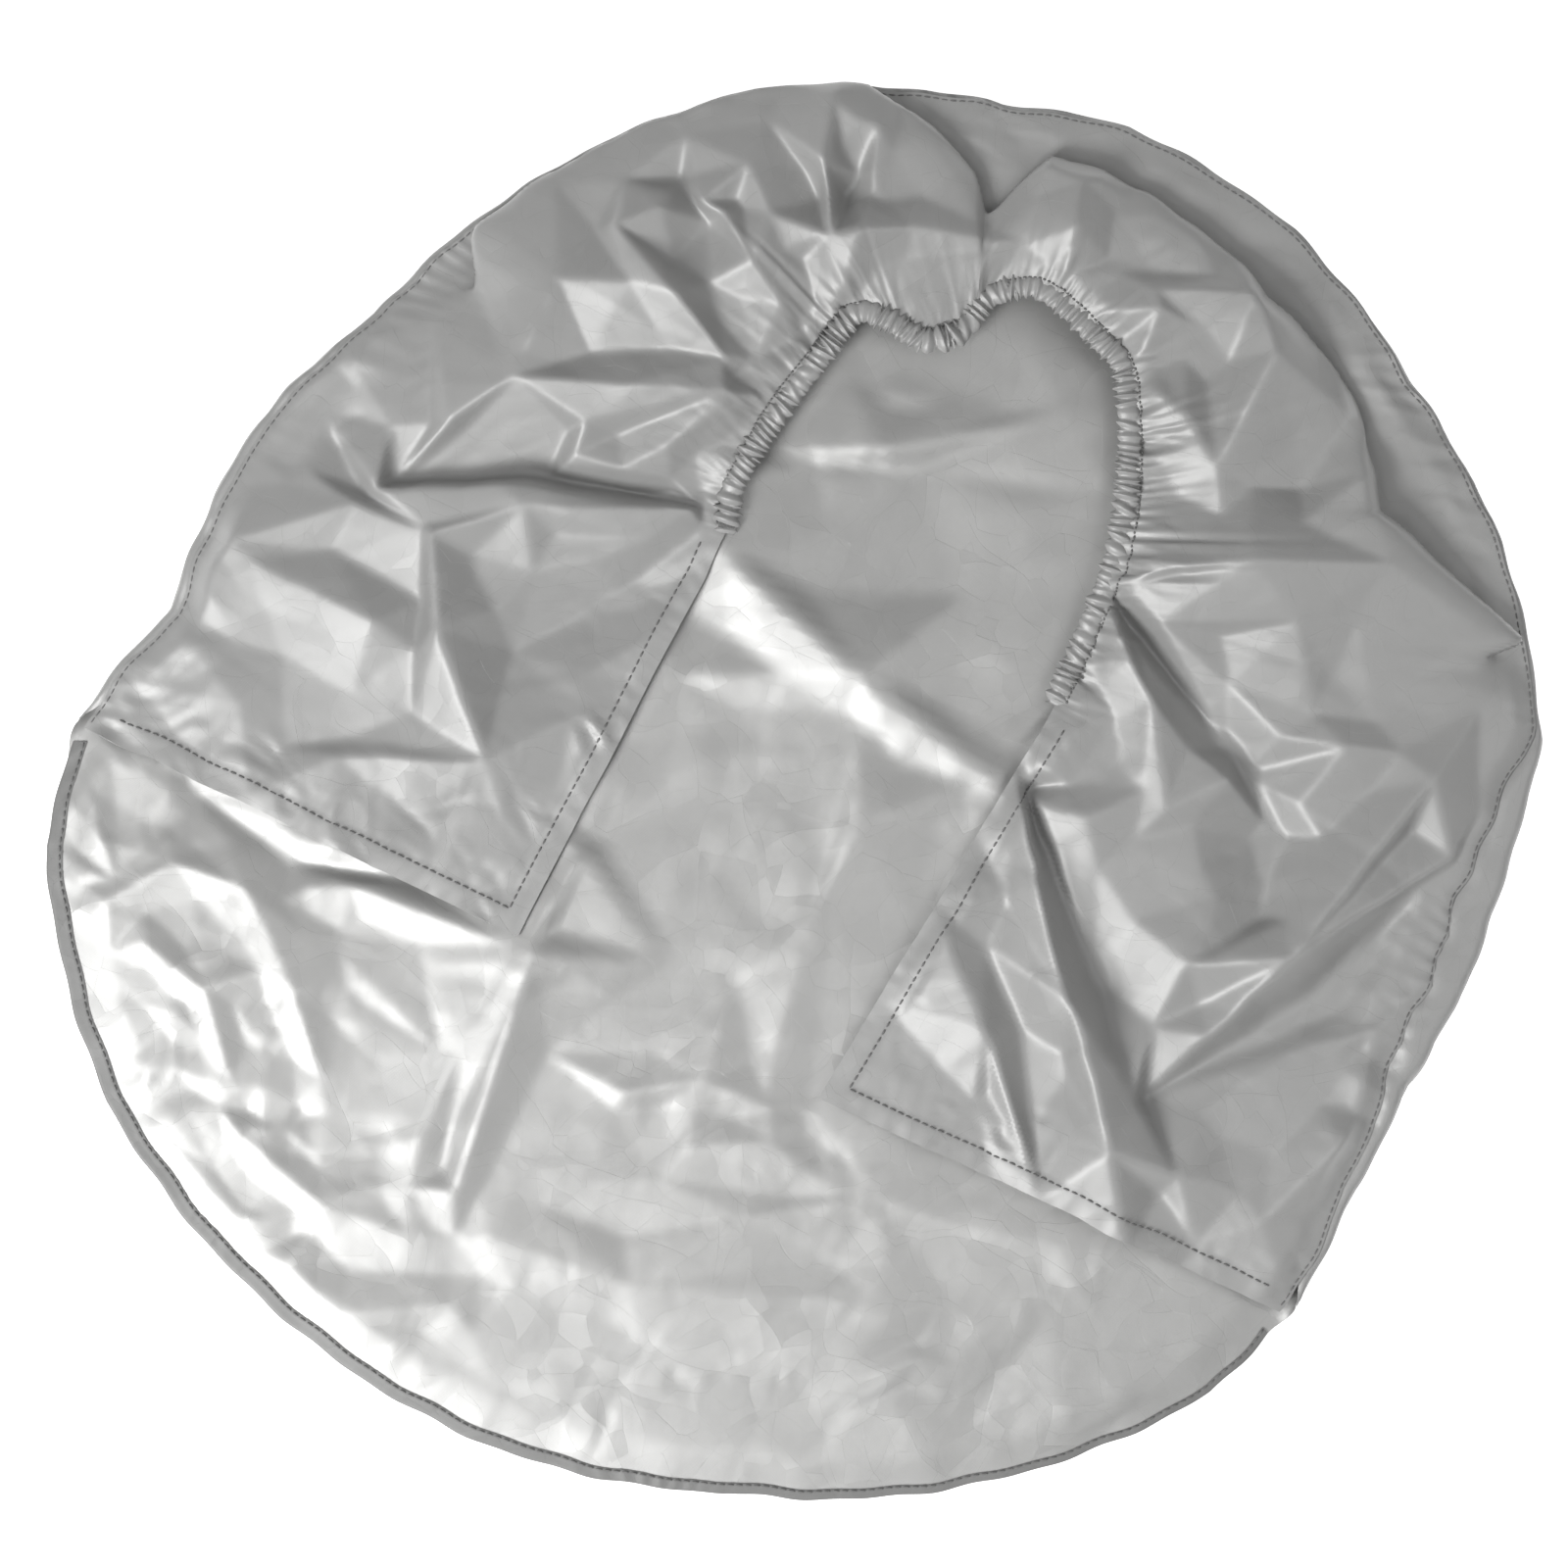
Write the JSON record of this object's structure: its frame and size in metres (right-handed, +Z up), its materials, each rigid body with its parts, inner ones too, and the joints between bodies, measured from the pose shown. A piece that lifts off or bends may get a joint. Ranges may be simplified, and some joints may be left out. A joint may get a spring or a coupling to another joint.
{
  "type": "spare tyre cover",
  "caption": "Soft silver cover for a caravan's spare wheel, laid open: round face panel, gathered elastic mouth, two hemmed flaps and a free lower rim.",
  "frame": {"origin": "middle of the laid-out cover's box, on the ground", "axes": "+Z up from the ground, +Y towards the closed side of the cover, +X to the right seen from above with the closed side up"},
  "size_m": [0.7062, 0.744, 0.0445],
  "materials": {
    "outer_cloth": "satin silver-grey woven polyester, outer side",
    "inner_coating": "bright silver coating on the inner side of the same cloth",
    "thread": "grey polyester sewing thread",
    "elastic": "white knitted elastic tape"
  },
  "bodies": {
    "root": {"face_panel": "inner_coating", "seam_allowance": "outer_cloth", "seam_stitching": "thread", "band_left_half": "outer_cloth", "band_right_half": "outer_cloth", "elastic_casing": "outer_cloth", "elastic_band": "elastic", "casing_stitching": "thread", "left_bar_tack": "thread", "right_bar_tack": "thread"},
    "left_flap": {"left_flap_panel": "outer_cloth", "left_end_hem": "outer_cloth", "left_inner_hem": "outer_cloth", "left_end_stitching": "thread", "left_inner_stitching": "thread"},
    "right_flap": {"right_flap_panel": "outer_cloth", "right_end_hem": "outer_cloth", "right_inner_hem": "outer_cloth", "right_end_stitching": "thread", "right_inner_stitching": "thread"},
    "apron": {"apron_panel": "inner_coating", "apron_hem": "outer_cloth", "apron_hem_stitching": "thread"}
  },
  "joints": [
    {"name": "left_flap_fold", "type": "hinge", "parent": "root", "child": "left_flap", "pos_m": [-0.27504, -0.0616, 0.0126], "axis": [-0.7354, -0.6776, 0], "range_deg": [0, 150]},
    {"name": "right_flap_fold", "type": "hinge", "parent": "root", "child": "right_flap", "pos_m": [0.27504, -0.0616, 0.0126], "axis": [-0.7354, 0.6776, 0], "range_deg": [0, 150]},
    {"name": "apron_lift", "type": "hinge", "parent": "root", "child": "apron", "pos_m": [0, -0.14015, 0.006], "axis": [-1, 0, 0], "range_deg": [0, 120]}
  ]
}
